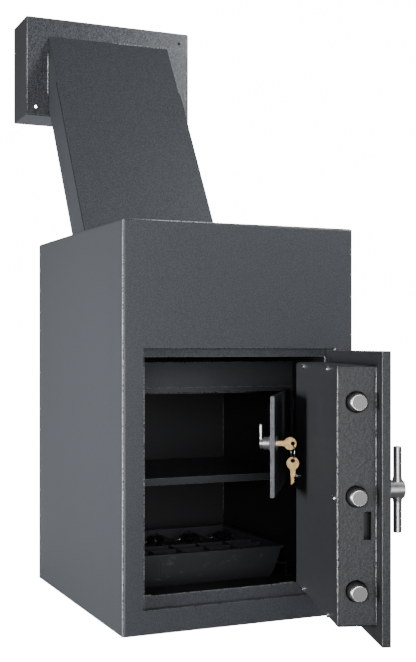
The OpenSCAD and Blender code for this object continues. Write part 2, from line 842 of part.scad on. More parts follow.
// ---------------------------------------------------------------- cash tray

// Tray body with sloping walls, shrunk on every side by wall.
module tray_body(wall) {
  low = tray_z0 + wall;
  bend = tray_z0 + 12;
  top = tray_z1 + (wall > 0 ? 1 : -tray_rim);
  intersection() {
    xz_plate(tray_y0, tray_y1) polygon([
      [-tray_base_hw + wall, low], [tray_base_hw - wall, low],
      [tray_wall_hw - wall, top], [-tray_wall_hw + wall, top]]);
    yz_plate(-tray_hw, tray_hw) polygon([
      [tray_y0 + 10 + wall, low], [tray_y0 + 4 + wall, bend], [tray_y0 + 2 + wall, top],
      [tray_y1 - 2 - wall, top], [tray_y1 - 4 - wall, bend], [tray_y1 - 10 - wall, low]]);
  }
}

module cash_tray() {
  color(black) difference() {
    union() {
      tray_body(0);
      translate([0, 0, tray_z1 - tray_rim]) linear_extrude(tray_rim)
        round_rect([-tray_hw, tray_y0], [tray_hw, tray_y1], 5);
      for (s = [-1, 1]) translate([s * rib_x, 0, 0])
        box([-1.5, tray_y0 + 0.5, tray_z0 + 24], [1.5, tray_y0 + 5, tray_z0 + 47]);
    }
    tray_body(tray_t);
  }
}

// Partitions of the coin cups and the note pockets, each a plate of its own.
module tray_dividers() {
  color(black) difference() {
    intersection() {
      union() {
        for (y = cup_ys) box([-tray_hw, y, tray_z0], [tray_hw, y + divider_t, divider_z]);
        for (k = [0:2], i = [-2:1])
          divider((i + 0.5) * cup_pitch, k == 0 ? tray_y0 : cup_ys[k - 1] + divider_t, cup_ys[k]);
        for (i = [-1:1]) divider(i * clip_pitch, cup_ys[2] + divider_t, tray_y1);
      }
      tray_body(tray_t);
    }
    rod_x(clip_y, clip_z, clip_rod_r + run, -tray_hw, tray_hw);
  }
}

// Partition along Y at x, clear of the cross partitions at y0 and y1.
module divider(x, y0, y1) {
  box([x - divider_t / 2, y0 + 0.4, tray_z0], [x + divider_t / 2, y1 - 0.4, divider_z]);
}

module clip_rod() {
  color(steel) intersection() {
    rod_x(clip_y, clip_z, clip_rod_r, -tray_hw, tray_hw);
    tray_body(tray_t);
  }
}

// Brackets on the cabinet's floor at both ends of the tray.
module tray_stops() {
  color(steel) for (s = [0, 1]) mirror([s, 0, 0]) {
    box([150, tray_y0, floor_z], [164, tray_y0 + 20, floor_z + 1.5]);
    box([150, tray_y0, floor_z], [151.5, tray_y0 + 20, floor_z + 24]);
    box([135, tray_y0, floor_z + 22.5], [151.5, tray_y0 + 20, floor_z + 24]);
  }
}

// Arc of points in the arm's plane, at radius r about the arch's centre.
function arch(r, a0, a1, n) = [for (i = [0:n]) let (a = a0 + (a1 - a0) * i / n)
                                 [clip_y - 36 + r * cos(a), clip_z - 22 + r * sin(a)]];

// Arched arm that holds notes down, hinged on the clip rod.
module bill_clip(i) {
  color(steel) translate([clip_xs[i], 0, 0]) difference() {
    union() {
      rod_x(clip_y, clip_z, 3, -9, 9);
      yz_plate(-7, 7) polygon(concat(arch(40.8, 30, 160, 20), arch(39.2, 160, 30, 20)));
    }
    rod_x(clip_y, clip_z, clip_rod_r + run, -20, 20);
  }
}

module bill_clip_1() { bill_clip(0); }
module bill_clip_2() { bill_clip(1); }
module bill_clip_3() { bill_clip(2); }
module bill_clip_4() { bill_clip(3); }

outer_shell();
base_plate();
back_panel();
board_left();
board_right();
board_back();
board_floor();
board_ceiling();
board_front();
inner_liner();
door_stop_frame();
deposit_shelf();
header_panel();
locker_upright_left();
locker_upright_right();
chute_sleeve();
chute_duct();
wall_plate();
hood_box();
hopper_ears();
hopper_rod();
cabinet_hinge_leaves();
inner_hinge_pins();
hinge_pins();
door_plate();
door_hinge_leaves();
boltwork_housing();
boltwork_cover();
cover_screws();
bolt_guide_rail();
handle_escutcheon();
dial_ring();
lock_case();
t_handle();
crank();
locking_bolts();
bolt_carrier();
combination_dial();
lock_wheels();
inner_door();
lock_cylinder();
lock_nut();
lock_plug();
lock_cam();
inner_key();
key_ring();
spare_key();
hopper_door();
hopper_cheeks();
hopper_tray();
hopper_tube();
hopper_counterweight();
cash_tray();
tray_dividers();
clip_rod();
tray_stops();
bill_clip_1();
bill_clip_2();
bill_clip_3();
bill_clip_4();
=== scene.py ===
"""Looks of the depository safe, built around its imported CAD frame. Metres, +Z up."""
import json
import math

import bmesh
import bpy
from mathutils import Matrix, Vector, noise


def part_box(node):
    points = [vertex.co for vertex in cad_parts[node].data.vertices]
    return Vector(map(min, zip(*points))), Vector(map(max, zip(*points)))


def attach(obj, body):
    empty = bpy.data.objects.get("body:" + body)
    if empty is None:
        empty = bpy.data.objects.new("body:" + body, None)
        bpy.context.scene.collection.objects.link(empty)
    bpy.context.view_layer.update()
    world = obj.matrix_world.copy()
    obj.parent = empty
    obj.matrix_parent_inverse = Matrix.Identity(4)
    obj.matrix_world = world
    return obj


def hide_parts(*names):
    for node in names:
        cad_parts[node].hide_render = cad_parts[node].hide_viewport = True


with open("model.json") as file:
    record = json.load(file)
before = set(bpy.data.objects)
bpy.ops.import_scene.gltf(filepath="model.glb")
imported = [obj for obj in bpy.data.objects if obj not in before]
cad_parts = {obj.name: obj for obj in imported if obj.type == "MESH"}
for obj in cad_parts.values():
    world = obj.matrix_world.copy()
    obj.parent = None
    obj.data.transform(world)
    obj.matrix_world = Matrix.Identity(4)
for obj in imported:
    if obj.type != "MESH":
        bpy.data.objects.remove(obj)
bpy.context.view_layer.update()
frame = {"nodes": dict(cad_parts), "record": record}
NODES = frame["nodes"]
RECORD = frame["record"]
BODY_OF = {node: body for body, nodes in RECORD["behaviour"]["bodies"].items() for node in nodes}
SLOT_OF = {part["node"]: part["material_slot"] for part in RECORD["subparts"]}
MM = 0.001
SHARP = math.radians(35)
AMBIENT = 0.15
BACKDROP_GLOW = 16.0
FLOOR_GLOW = 17.0
HINGE = Vector((0.1733, -0.2583, 0))
DOOR_OPEN = math.radians(73.1)


# ---------------------------------------------------------------- camera, floor and light

def make_camera():
    """Low camera in front of the safe and to its left, as the photograph was taken."""
    data = bpy.data.cameras.new("camera")
    data.sensor_width = 36
    data.lens = 61.2
    data.shift_x = -0.0062
    data.shift_y = 0.0193
    camera = bpy.data.objects.new("camera", data)
    camera.location = (-0.7531, -1.8469, 0.4386)
    camera.rotation_euler = (math.radians(90.13), 0, math.radians(-23.57))
    bpy.context.scene.collection.objects.link(camera)
    bpy.context.scene.camera = camera


def make_floor():
    """Pale glowing floor, wide enough for every view."""
    bpy.ops.mesh.primitive_plane_add(size=60, location=(0, 0, -0.0005))
    floor = bpy.context.object
    floor.name = "studio_floor"
    material = bpy.data.materials.new("studio_floor")
    material.use_nodes = True
    shader = material.node_tree.nodes["Principled BSDF"]
    shader.inputs["Base Color"].default_value = (0.9, 0.9, 0.9, 1)
    shader.inputs["Roughness"].default_value = 0.9
    shader.inputs["Emission Color"].default_value = (1, 1, 1, 1)
    shader.inputs["Emission Strength"].default_value = FLOOR_GLOW
    floor.data.materials.append(material)
    floor.visible_diffuse = False
    floor.visible_glossy = False


def area_light(name, place, target, size, watts, spread=180):
    """Soft square light at place, aimed at target, unseen by the camera; spread is in degrees."""
    data = bpy.data.lights.new(name, "AREA")
    data.shape = "SQUARE"
    data.size = size
    data.energy = watts
    data.spread = math.radians(spread)
    light = bpy.data.objects.new(name, data)
    light.location = place
    light.visible_camera = False
    light.rotation_euler = (Vector(target) - Vector(place)).to_track_quat("-Z", "Y").to_euler()
    bpy.context.scene.collection.objects.link(light)
    return light


def make_light():
    """White studio: the backdrop is bright to the eye, and soft lights do the work."""
    world = bpy.data.worlds.new("studio")
    bpy.context.scene.world = world
    world.use_nodes = True
    tree = world.node_tree
    background = tree.nodes["Background"]
    background.inputs["Color"].default_value = (1, 1, 1, 1)
    seen = tree.nodes.new("ShaderNodeLightPath").outputs["Is Camera Ray"]
    strength = tree.nodes.new("ShaderNodeMapRange")
    strength.inputs["To Min"].default_value = AMBIENT
    strength.inputs["To Max"].default_value = BACKDROP_GLOW
    tree.links.new(seen, strength.inputs["Value"])
    tree.links.new(strength.outputs["Result"], background.inputs["Strength"])
    head = (0.1, 0.42, 1.05)
    area_light("left_light", (-2.6, -0.5, 0.25), (0, 0, 0.20), 1.0, 15.8, 48)
    area_light("front_light", (-0.9, -3.0, 0.3), (0, 0, 0.3), 1.8, 70)
    area_light("head_light", (1.1, -0.7, 1.45), head, 0.5, 22)
    bounce = area_light("floor_bounce", (0.05, 0.85, 0.02), (0.05, 0.80, 1.0), 1.0, 40)
    bounce.visible_glossy = False


# ---------------------------------------------------------------- materials

class Shader:
    """Node material with a principled shader and object coordinates."""

    def __init__(self, name, metallic=0.0, roughness=0.5, **sockets):
        self.material = bpy.data.materials.new(name)
        self.material.use_nodes = True
        self.tree = self.material.node_tree
        self.principled = self.tree.nodes["Principled BSDF"]
        self.principled.inputs["Metallic"].default_value = metallic
        self.principled.inputs["Roughness"].default_value = roughness
        for socket, value in sockets.items():
            self.principled.inputs[socket.replace("_", " ")].default_value = value
        self.coordinates = self.node("ShaderNodeTexCoord").outputs["Object"]

    def node(self, kind, **settings):
        made = self.tree.nodes.new(kind)
        for key, value in settings.items():
            setattr(made, key, value)
        return made

    def link(self, source, target):
        self.tree.links.new(source, target)

    def stretched(self, scale):
        """Object coordinates scaled by a vector."""
        mapping = self.node("ShaderNodeMapping")
        mapping.inputs["Scale"].default_value = scale
        self.link(self.coordinates, mapping.inputs["Vector"])
        return mapping.outputs["Vector"]

    def noise(self, scale, detail=2.0, vector=None):
        made = self.node("ShaderNodeTexNoise")
        made.inputs["Scale"].default_value = scale
        made.inputs["Detail"].default_value = detail
        self.link(vector or self.coordinates, made.inputs["Vector"])
        return made.outputs["Fac"]

    def ramp(self, source, stops):
        """Colour ramp; stops is a list of (place, grey or colour)."""
        made = self.node("ShaderNodeValToRGB")
        elements = made.color_ramp.elements
        while len(elements) < len(stops):
            elements.new(0.5)
        for element, (place, colour) in zip(elements, stops):
            element.position = place
            element.color = (colour,) * 3 + (1,) if isinstance(colour, float) else (*colour, 1)
        self.link(source, made.inputs["Fac"])
        return made.outputs["Color"]

    def mix(self, factor, first, second):
        """Mix of two colours or sockets, by a number or a socket."""
        made = self.node("ShaderNodeMix", data_type="RGBA")
        if isinstance(factor, float):
            made.inputs[0].default_value = factor
        else:
            self.link(factor, made.inputs[0])
        for socket, value in ((made.inputs[6], first), (made.inputs[7], second)):
            if isinstance(value, tuple):
                socket.default_value = (*value, 1)
            else:
                self.link(value, socket)
        return made.outputs[2]

    def colour(self, source):
        self.link(source, self.principled.inputs["Base Color"])

    def roughness(self, source, low, high):
        """Roughness that runs from low to high as source runs from 0 to 1."""
        made = self.node("ShaderNodeMapRange")
        made.inputs["To Min"].default_value = low
        made.inputs["To Max"].default_value = high
        self.link(source, made.inputs["Value"])
        self.link(made.outputs["Result"], self.principled.inputs["Roughness"])

    def bump(self, sources):
        """Chained bumps; sources is a list of (height, strength, distance in metres)."""
        normal = None
        for height, strength, distance in sources:
            made = self.node("ShaderNodeBump")
            made.inputs["Strength"].default_value = strength
            made.inputs["Distance"].default_value = distance
            self.link(height, made.inputs["Height"])
            if normal:
                self.link(normal, made.inputs["Normal"])
            normal = made.outputs["Normal"]
        self.link(normal, self.principled.inputs["Normal"])


def scaled(colour, share):
    """Colour made lighter or darker by share."""
    return tuple(c * share for c in colour)


def powder_coat(name, base, contrast=0.22, grain=520.0, relief=0.35, rough=(0.34, 0.56), shine=0.25):
    """Charcoal powder coat: orange peel and a mottled grain of bright and dark flecks."""
    shader = Shader(name, metallic=0.25, roughness=0.45, Coat_Weight=shine, Coat_Roughness=0.22)
    grains = shader.noise(grain, 2.0)
    fleck = shader.ramp(grains, [(0.40, 0.0), (0.62, 1.0)])
    cloud = shader.noise(6.0, 3.0)
    dark = scaled(base, 1 - contrast)
    light = scaled(base, 1 + contrast * 1.3)
    flecked = shader.mix(fleck, dark, light)
    glint = shader.ramp(shader.noise(grain * 1.7, 1.0), [(0.66, 0.0), (0.72, 1.0)])
    sparkled = shader.mix(glint, flecked, scaled(base, 1 + contrast * 4))
    faded = shader.ramp(cloud, [(0.3, 0.0), (0.8, 0.25)])
    shader.colour(shader.mix(faded, sparkled, scaled(base, 1.15)))
    shader.roughness(grains, *rough)
    shader.bump([(shader.noise(grain * 0.5, 2.0), relief, 0.0008),
                 (shader.noise(grain * 1.5, 2.0), relief * 0.7, 0.0004)])
    return shader.material


def rubbed_edge(name, low, high, rough=(0.22, 0.42)):
    """Painted light along an edge or bead: crumbs mixed from the low to the high tone, a painted highlight
    where high is bright and painted shade where both tones are dark; the crumbly breakup follows the beaded
    paint.
    """
    shader = Shader(name, metallic=0.35, roughness=0.3, Coat_Weight=0.4, Coat_Roughness=0.15)
    crumbs = shader.ramp(shader.noise(360.0, 2.0), [(0.36, 0.0), (0.60, 1.0)])
    shader.colour(shader.mix(crumbs, low, high))
    shader.roughness(crumbs, *rough)
    shader.bump([(shader.noise(300.0, 2.0), 0.8, 0.0008)])
    return shader.material


def smooth_coat(name, base, rough):
    """Smoother dark paint with faint handling marks."""
    shader = Shader(name, metallic=0.1, roughness=0.42)
    cloud = shader.noise(5.0, 4.0)
    smear = shader.noise(1.0, 5.0, shader.stretched((14, 14, 60)))
    shader.colour(shader.mix(cloud, scaled(base, 0.9), scaled(base, 1.12)))
    shader.roughness(smear, *rough)
    shader.bump([(shader.noise(500.0, 2.0), 0.12, 0.0003)])
    return shader.material


def bright_steel(name, base=(0.66, 0.66, 0.67), rough=(0.20, 0.34)):
    """Turned or drawn steel with fine tool marks."""
    shader = Shader(name, metallic=1.0, roughness=0.3)
    marks = shader.noise(600.0, 6.0)
    shader.colour(shader.mix(shader.noise(40.0, 3.0), scaled(base, 0.88), base))
    shader.roughness(marks, *rough)
    shader.bump([(marks, 0.06, 0.0001)])
    return shader.material


def satin_chrome(name):
    """Cast chrome-plated part, satin with a soft ripple."""
    shader = Shader(name, metallic=1.0, roughness=0.25)
    ripple = shader.noise(90.0, 2.0)
    shader.colour(shader.mix(shader.noise(30.0, 3.0), (0.50, 0.51, 0.52), (0.60, 0.60, 0.61)))
    shader.roughness(shader.noise(120.0, 3.0), 0.30, 0.42)
    shader.bump([(ripple, 0.06, 0.0004)])
    return shader.material


def key_brass(name):
    """Stamped brass key with worn high spots."""
    shader = Shader(name, metallic=0.75, roughness=0.42)
    worn = shader.ramp(shader.noise(300.0, 4.0), [(0.45, 0.0), (0.62, 1.0)])
    shader.colour(shader.mix(worn, (0.42, 0.27, 0.10), (0.60, 0.42, 0.20)))
    shader.roughness(shader.noise(500.0, 3.0), 0.32, 0.5)
    shader.bump([(shader.noise(900.0, 2.0), 0.15, 0.0002)])
    return shader.material


def black_plastic(name):
    """Moulded black plastic with a fine spark-eroded grain and scuffs."""
    shader = Shader(name, roughness=0.5)
    scuff = shader.ramp(shader.noise(1.0, 6.0, shader.stretched((50, 220, 90))), [(0.62, 0.0), (0.72, 1.0)])
    shader.colour(shader.mix(scuff, (0.030, 0.032, 0.036), (0.070, 0.074, 0.082)))
    shader.roughness(shader.noise(160.0, 3.0), 0.40, 0.6)
    shader.bump([(shader.noise(1400.0, 2.0), 0.25, 0.0002)])
    return shader.material


def enamel_black(name):
    """Glossy black enamel of the dial."""
    shader = Shader(name, roughness=0.22)
    shader.colour(shader.mix(shader.noise(25.0, 3.0), (0.010, 0.010, 0.011), (0.018, 0.018, 0.020)))
    shader.roughness(shader.noise(60.0, 3.0), 0.15, 0.3)
    shader.bump([(shader.noise(300.0, 2.0), 0.05, 0.0002)])
    return shader.material


def barrier_board(name):
    """Pale cast board with pores."""
    shader = Shader(name, roughness=0.85)
    pores = shader.ramp(shader.noise(420.0, 3.0), [(0.30, 0.0), (0.42, 1.0)])
    shader.colour(shader.mix(pores, (0.42, 0.40, 0.36), (0.62, 0.60, 0.55)))
    shader.bump([(pores, 0.4, 0.0006)])
    return shader.material


def white_enamel(name):
    """White paint of the dial's graduations."""
    shader = Shader(name, roughness=0.5)
    shader.colour(shader.mix(shader.noise(200.0, 2.0), (0.70, 0.70, 0.68), (0.85, 0.85, 0.83)))
    shader.bump([(shader.noise(900.0, 2.0), 0.1, 0.0001)])
    return shader.material


CHARCOAL = (0.066, 0.072, 0.082)
MATERIALS = {
    "shell": powder_coat("shell_coat", CHARCOAL),
    "coarse": powder_coat("coarse_coat", scaled(CHARCOAL, 0.80), 0.55, 500.0, 0.65, (0.30, 0.48), 0.3),
    "door": powder_coat("door_coat", scaled(CHARCOAL, 0.31), 0.6, 470.0, 0.7, (0.38, 0.60), 0.06),
    "chute": powder_coat("chute_coat", scaled(CHARCOAL, 0.98), 0.3, 420.0, 0.5, (0.34, 0.56), 0.25),
    # Edge materials: lines of painted highlight on folds, bevels and beads, whose lighter tone stands for
    # the light each edge catches; shade_edge is painted shade at the chute's bends.
    "edge": rubbed_edge("rubbed_edge", (0.16, 0.165, 0.17), (0.66, 0.66, 0.66)),
    "inner_edge_highlight": rubbed_edge("inner_edge_highlight", (0.07, 0.073, 0.08), (0.34, 0.34, 0.35)),
    "trim_highlight": rubbed_edge("trim_edge_highlight", (0.06, 0.063, 0.07), (0.20, 0.205, 0.21)),
    "frame_highlight_line": rubbed_edge("frame_highlight_line", (0.16, 0.165, 0.175), (0.42, 0.43, 0.44)),
    "tray_edge_highlight": rubbed_edge("tray_edge_highlight", (0.05, 0.052, 0.056), (0.12, 0.12, 0.125)),
    "shade_edge": rubbed_edge("shade_edge", (0.010, 0.011, 0.012), (0.035, 0.036, 0.038), (0.5, 0.7)),
    "tray_rim": rubbed_edge("tray_rim", (0.09, 0.093, 0.10), (0.24, 0.245, 0.25)),
    # Shell paint darkened for the parts inside the opening: painted shade of the recess.
    "dark": powder_coat("recess_shade_coat", scaled(CHARCOAL, 0.70), 0.15),
    # Weld colour: the bead shape is real, its bright crumbs are a painted highlight.
    "weld_highlight": rubbed_edge("weld_highlight_coat", (0.10, 0.10, 0.11), (0.75, 0.76, 0.76)),
    "cover": smooth_coat("cover_coat", scaled(CHARCOAL, 0.32), (0.48, 0.60)),
    "liner": smooth_coat("liner_paint", (0.015, 0.016, 0.018), (0.5, 0.65)),
    "board": barrier_board("barrier_board"),
    "steel": bright_steel("bright_steel"),
    "bolt": bright_steel("bolt_steel", (0.19, 0.19, 0.19), (0.36, 0.55)),
    # Bolt rims: bright steel on the bolts' bevels as a painted highlight.
    "bolt_rim_highlight": bright_steel("bolt_rim_highlight", (0.85, 0.85, 0.85), (0.12, 0.25)),
    "screw": bright_steel("screw_steel", (0.95, 0.95, 0.95), (0.10, 0.22)),
    "blackened": bright_steel("blackened_steel", (0.045, 0.045, 0.048), (0.4, 0.6)),
    "zinc": bright_steel("zinc_plate", (0.52, 0.53, 0.55), (0.32, 0.5)),
    "chrome": satin_chrome("satin_chrome"),
    "brass": key_brass("key_brass"),
    "plastic": black_plastic("black_plastic"),
    "enamel": enamel_black("black_enamel"),
    "white": white_enamel("white_enamel"),
}
SLOT_MATERIAL = {
    "charcoal_coat": "shell", "liner_paint": "liner", "barrier_board": "board", "bright_steel": "steel",
    "plated_steel": "zinc", "satin_chrome": "chrome", "key_brass": "brass", "black_plastic": "plastic",
    "dial_black": "enamel",
}
NODE_MATERIAL = {
    "wall_plate": "coarse", "hood_box": "coarse", "inner_door": "coarse",
    "door_plate": "door", "boltwork_housing": "door", "door_hinge_leaves": "door",
    "bolt_guide_rail": "blackened", "boltwork_cover": "cover", "locking_bolts": "bolt",
    "cover_screws": "screw", "chute_sleeve": "chute", "chute_duct": "chute",
    # Parts inside the opening take the darkened shell paint, painted shade.
    "deposit_shelf": "dark", "header_panel": "dark",
    "locker_upright_left": "dark", "locker_upright_right": "dark",
}
# Bevel faces of these eased pieces take a painted edge line: painted highlight on most, painted shade on the
# chute.
EDGE_MATERIAL = {
    "outer_shell_eased": "trim_highlight", "boltwork_housing_eased": "inner_edge_highlight", "door_plate_eased": "trim_highlight",
    "wall_plate_eased": "inner_edge_highlight", "hood_box_eased": "inner_edge_highlight", "chute_sleeve_eased": "shade_edge",
    "chute_duct_eased": "shade_edge", "inner_door_eased": "tray_edge_highlight", "door_stop_frame_eased": "inner_edge_highlight",
    "deposit_shelf_eased": "inner_edge_highlight", "header_panel_eased": "inner_edge_highlight", "cash_tray_eased": "tray_edge_highlight",
    "tray_dividers_eased": "tray_rim", "locking_bolts_eased": "bolt_rim_highlight",
}


def material_for(node):
    """The finish of a CAD node's surface."""
    return MATERIALS[NODE_MATERIAL.get(node) or SLOT_MATERIAL[SLOT_OF[node]]]


# ---------------------------------------------------------------- mesh helpers

def finish_mesh(piece, material, body):
    """Smooth shading, its materials, and the body the piece rides on."""
    face_slots = [face.material_index for face in piece.data.polygons]
    piece.data.materials.clear()
    piece.data.materials.append(material)
    if piece.name in EDGE_MATERIAL:
        piece.data.materials.append(MATERIALS[EDGE_MATERIAL[piece.name]])
        piece.data.polygons.foreach_set("material_index", face_slots)
    piece.data.shade_smooth()
    piece.data.set_sharp_from_angle(angle=SHARP)
    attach(piece, body)


def object_from(name, mesh_data):
    """Object called name around a bmesh, which is freed."""
    mesh = bpy.data.meshes.new(name)
    mesh_data.to_mesh(mesh)
    mesh_data.free()
    piece = bpy.data.objects.new(name, mesh)
    bpy.context.scene.collection.objects.link(piece)
    return piece


def apply_modifiers(piece):
    """Turns the modifiers of piece into mesh."""
    graph = bpy.context.evaluated_depsgraph_get()
    mesh = bpy.data.meshes.new_from_object(piece.evaluated_get(graph))
    piece.modifiers.clear()
    piece.data = mesh


SEAMED = ("chute_sleeve", "chute_duct")
CHUTE_SLOPE = math.radians(58.7)
DOWN_CHUTE = Vector((0, -math.cos(CHUTE_SLOPE), -math.sin(CHUTE_SLOPE)))
JOINT_RUN = min(vertex.co.dot(DOWN_CHUTE) for vertex in NODES["chute_sleeve"].data.vertices)


def near_seam(edge):
    """True for edges at the square butt joint of the chute's two halves."""
    return all(abs(vertex.co.dot(DOWN_CHUTE) - JOINT_RUN) < 1 * MM for vertex in edge.verts)


SHANK_RADII = (3.6 * MM, 4.2 * MM)
SHANK_SHARE = 0.97


def slim_shank(piece):
    """Thins the hinge pins by a hair, so that their facets clear the knuckles' bores at every angle."""
    for vertex in piece.data.vertices:
        out = vertex.co.xy - HINGE.xy
        if SHANK_RADII[0] < out.length < SHANK_RADII[1]:
            vertex.co.xy = HINGE.xy + out * SHANK_SHARE


def eased(node, width):
    """Copy of a CAD node whose sharp edges are rounded by width, standing for the node."""
    copy = bmesh.new()
    copy.from_mesh(NODES[node].data)
    bmesh.ops.remove_doubles(copy, verts=copy.verts, dist=2e-6)
    bmesh.ops.dissolve_limit(copy, angle_limit=math.radians(0.5), verts=copy.verts, edges=copy.edges)
    weights = copy.edges.layers.float.new("bevel_weight_edge")
    for edge in copy.edges:
        sharp = edge.is_manifold and edge.calc_face_angle(0) > SHARP
        edge[weights] = float(sharp and not (node in SEAMED and near_seam(edge)))
    piece = object_from(node + "_eased", copy)
    for _ in ("surface", "edge"):
        piece.data.materials.append(None)
    bevel = piece.modifiers.new("bevel", "BEVEL")
    bevel.width = width
    bevel.segments = 3
    bevel.limit_method = "WEIGHT"
    bevel.use_clamp_overlap = True
    # Bevel faces get slot 1, the painted edge line of EDGE_MATERIAL.
    if piece.name in EDGE_MATERIAL:
        bevel.material = 1
    apply_modifiers(piece)
    if node == "hinge_pins":
        slim_shank(piece)
    finish_mesh(piece, material_for(node), BODY_OF[node])
    normals = piece.modifiers.new("normals", "WEIGHTED_NORMAL")
    normals.keep_sharp = True
    apply_modifiers(piece)
    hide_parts(node)


EASED = {
    "outer_shell": 2.2, "base_plate": 0.6, "back_panel": 0.8, "door_stop_frame": 0.7, "inner_liner": 0.6,
    "deposit_shelf": 0.5, "header_panel": 0.5, "locker_upright_left": 0.5, "locker_upright_right": 0.4,
    "chute_sleeve": 1.3, "chute_duct": 1.3, "wall_plate": 0.6, "hood_box": 0.9, "hopper_ears": 0.5,
    "cabinet_hinge_leaves": 0.6, "door_plate": 2.0, "door_hinge_leaves": 0.6, "boltwork_housing": 1.2,
    "boltwork_cover": 0.8, "bolt_guide_rail": 0.5, "handle_escutcheon": 0.8, "dial_ring": 0.8,
    "lock_case": 1.0, "crank": 0.6, "bolt_carrier": 0.8, "inner_door": 0.8, "lock_cylinder": 0.4,
    "lock_nut": 0.6, "lock_plug": 0.3, "lock_cam": 0.5, "hopper_door": 0.6, "hopper_cheeks": 0.5,
    "hopper_tray": 0.4, "hopper_counterweight": 1.0, "locking_bolts": 0.6, "hinge_pins": 0.5,
    "inner_key": 0.35, "spare_key": 0.35, "cover_screws": 0.3, "t_handle": 0.8, "combination_dial": 0.5,
    "cash_tray": 1.2, "tray_dividers": 0.5, "key_ring": 0.1, "tray_stops": 0.3,
    "bill_clip_1": 0.3, "bill_clip_2": 0.3, "bill_clip_3": 0.3, "bill_clip_4": 0.3,
}


def ease_nodes():
    """Rounds the edges of the nodes in EASED and gives every other node its finish."""
    for node, obj in NODES.items():
        if node in EASED:
            eased(node, EASED[node] * MM)
        else:
            obj.data.materials.clear()
            obj.data.materials.append(material_for(node))


# ---------------------------------------------------------------- added detail

def door_matrix():
    """From the closed main door's place to the place it stands open at."""
    return Matrix.Translation(HINGE) @ Matrix.Rotation(DOOR_OPEN, 4, "Z") @ Matrix.Translation(-HINGE)


def added_piece(name, mesh_data, material, body, placed=None):
    """Finished piece around a bmesh, moved by the matrix placed when one is given."""
    if placed:
        bmesh.ops.transform(mesh_data, matrix=placed, verts=mesh_data.verts)
    bmesh.ops.recalc_face_normals(mesh_data, faces=mesh_data.faces)
    finish_mesh(object_from(name, mesh_data), MATERIALS[material], body)


def bead(name, start, end, radius, body, seed, material):
    """Rippled bead from start to end, with uneven width and height."""
    start, end = Vector(start), Vector(end)
    along = (end - start).normalized()
    side = along.orthogonal().normalized()
    up = along.cross(side)
    rings = max(8, int((end - start).length / (radius * 0.45)))
    sides = 10
    mesh_data = bmesh.new()
    previous = None
    for k in range(rings + 1):
        share = k / rings
        centre = start.lerp(end, share)
        wobble = noise.noise(Vector((share * rings * 0.23, seed, 0.0)))
        taper = min(1.0, 6 * share + 0.15, 6 * (1 - share) + 0.15)
        ripple = 1 + 0.16 * math.sin(k * 1.9) + 0.35 * wobble
        centre += (side + up) * radius * 0.25 * noise.noise(Vector((share * rings * 0.11, seed, 5.0)))
        ring = []
        for m in range(sides):
            turn = 2 * math.pi * m / sides
            out = (side * math.cos(turn) + up * math.sin(turn)) * radius * ripple * taper
            ring.append(mesh_data.verts.new(centre + out))
        if previous:
            for m in range(sides):
                n = (m + 1) % sides
                mesh_data.faces.new((previous[m], previous[n], ring[n], ring[m]))
        else:
            mesh_data.faces.new(ring)
        previous = ring
    mesh_data.faces.new(previous)
    placed = door_matrix() if body == "main_door" else None
    added_piece(name, mesh_data, material, body, placed)


SHELL_LOW, SHELL_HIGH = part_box("outer_shell")
FOLD = 0.00105
LEFT, FRONT, TOP = SHELL_LOW[0] + FOLD, SHELL_LOW[1] + FOLD, SHELL_HIGH[2] - FOLD
OPEN_X, OPEN_Y, SILL_Y = -0.1651, FRONT - 0.0001, FRONT - 0.0002
OPEN_Z0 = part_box("door_stop_frame")[0][2] + 0.003
OPEN_Z1 = OPEN_Z0 + 0.392
SILL_Z = OPEN_Z0 - 0.0006
HEAD_Y = 0.4226
SEAM_X, SEAM_Y = 0.1773, HEAD_Y + 0.0003
SEAM_Z0, SEAM_Z1 = 0.919, 1.113
HEADER_Y, HEADER_Z = -0.0738, 0.3590
STOP_Y, STOP_Z = -0.2277, 0.0560
CORNER_X, CORNER_Y = 0.1693, 0.2113
HOUSING_X, HOUSING_BACK = -0.1381, -0.175
PLATE_X, PLATE_BACK = -0.1643, -0.230
BACK_X, BACK_Y = HOUSING_X + 0.0006, HOUSING_BACK - 0.0012
FOOT_X, FOOT_Y = HOUSING_X - 0.0003, PLATE_BACK + 0.0012
RIM_X, RIM_Y = PLATE_X + 0.0009, PLATE_BACK - 0.0008
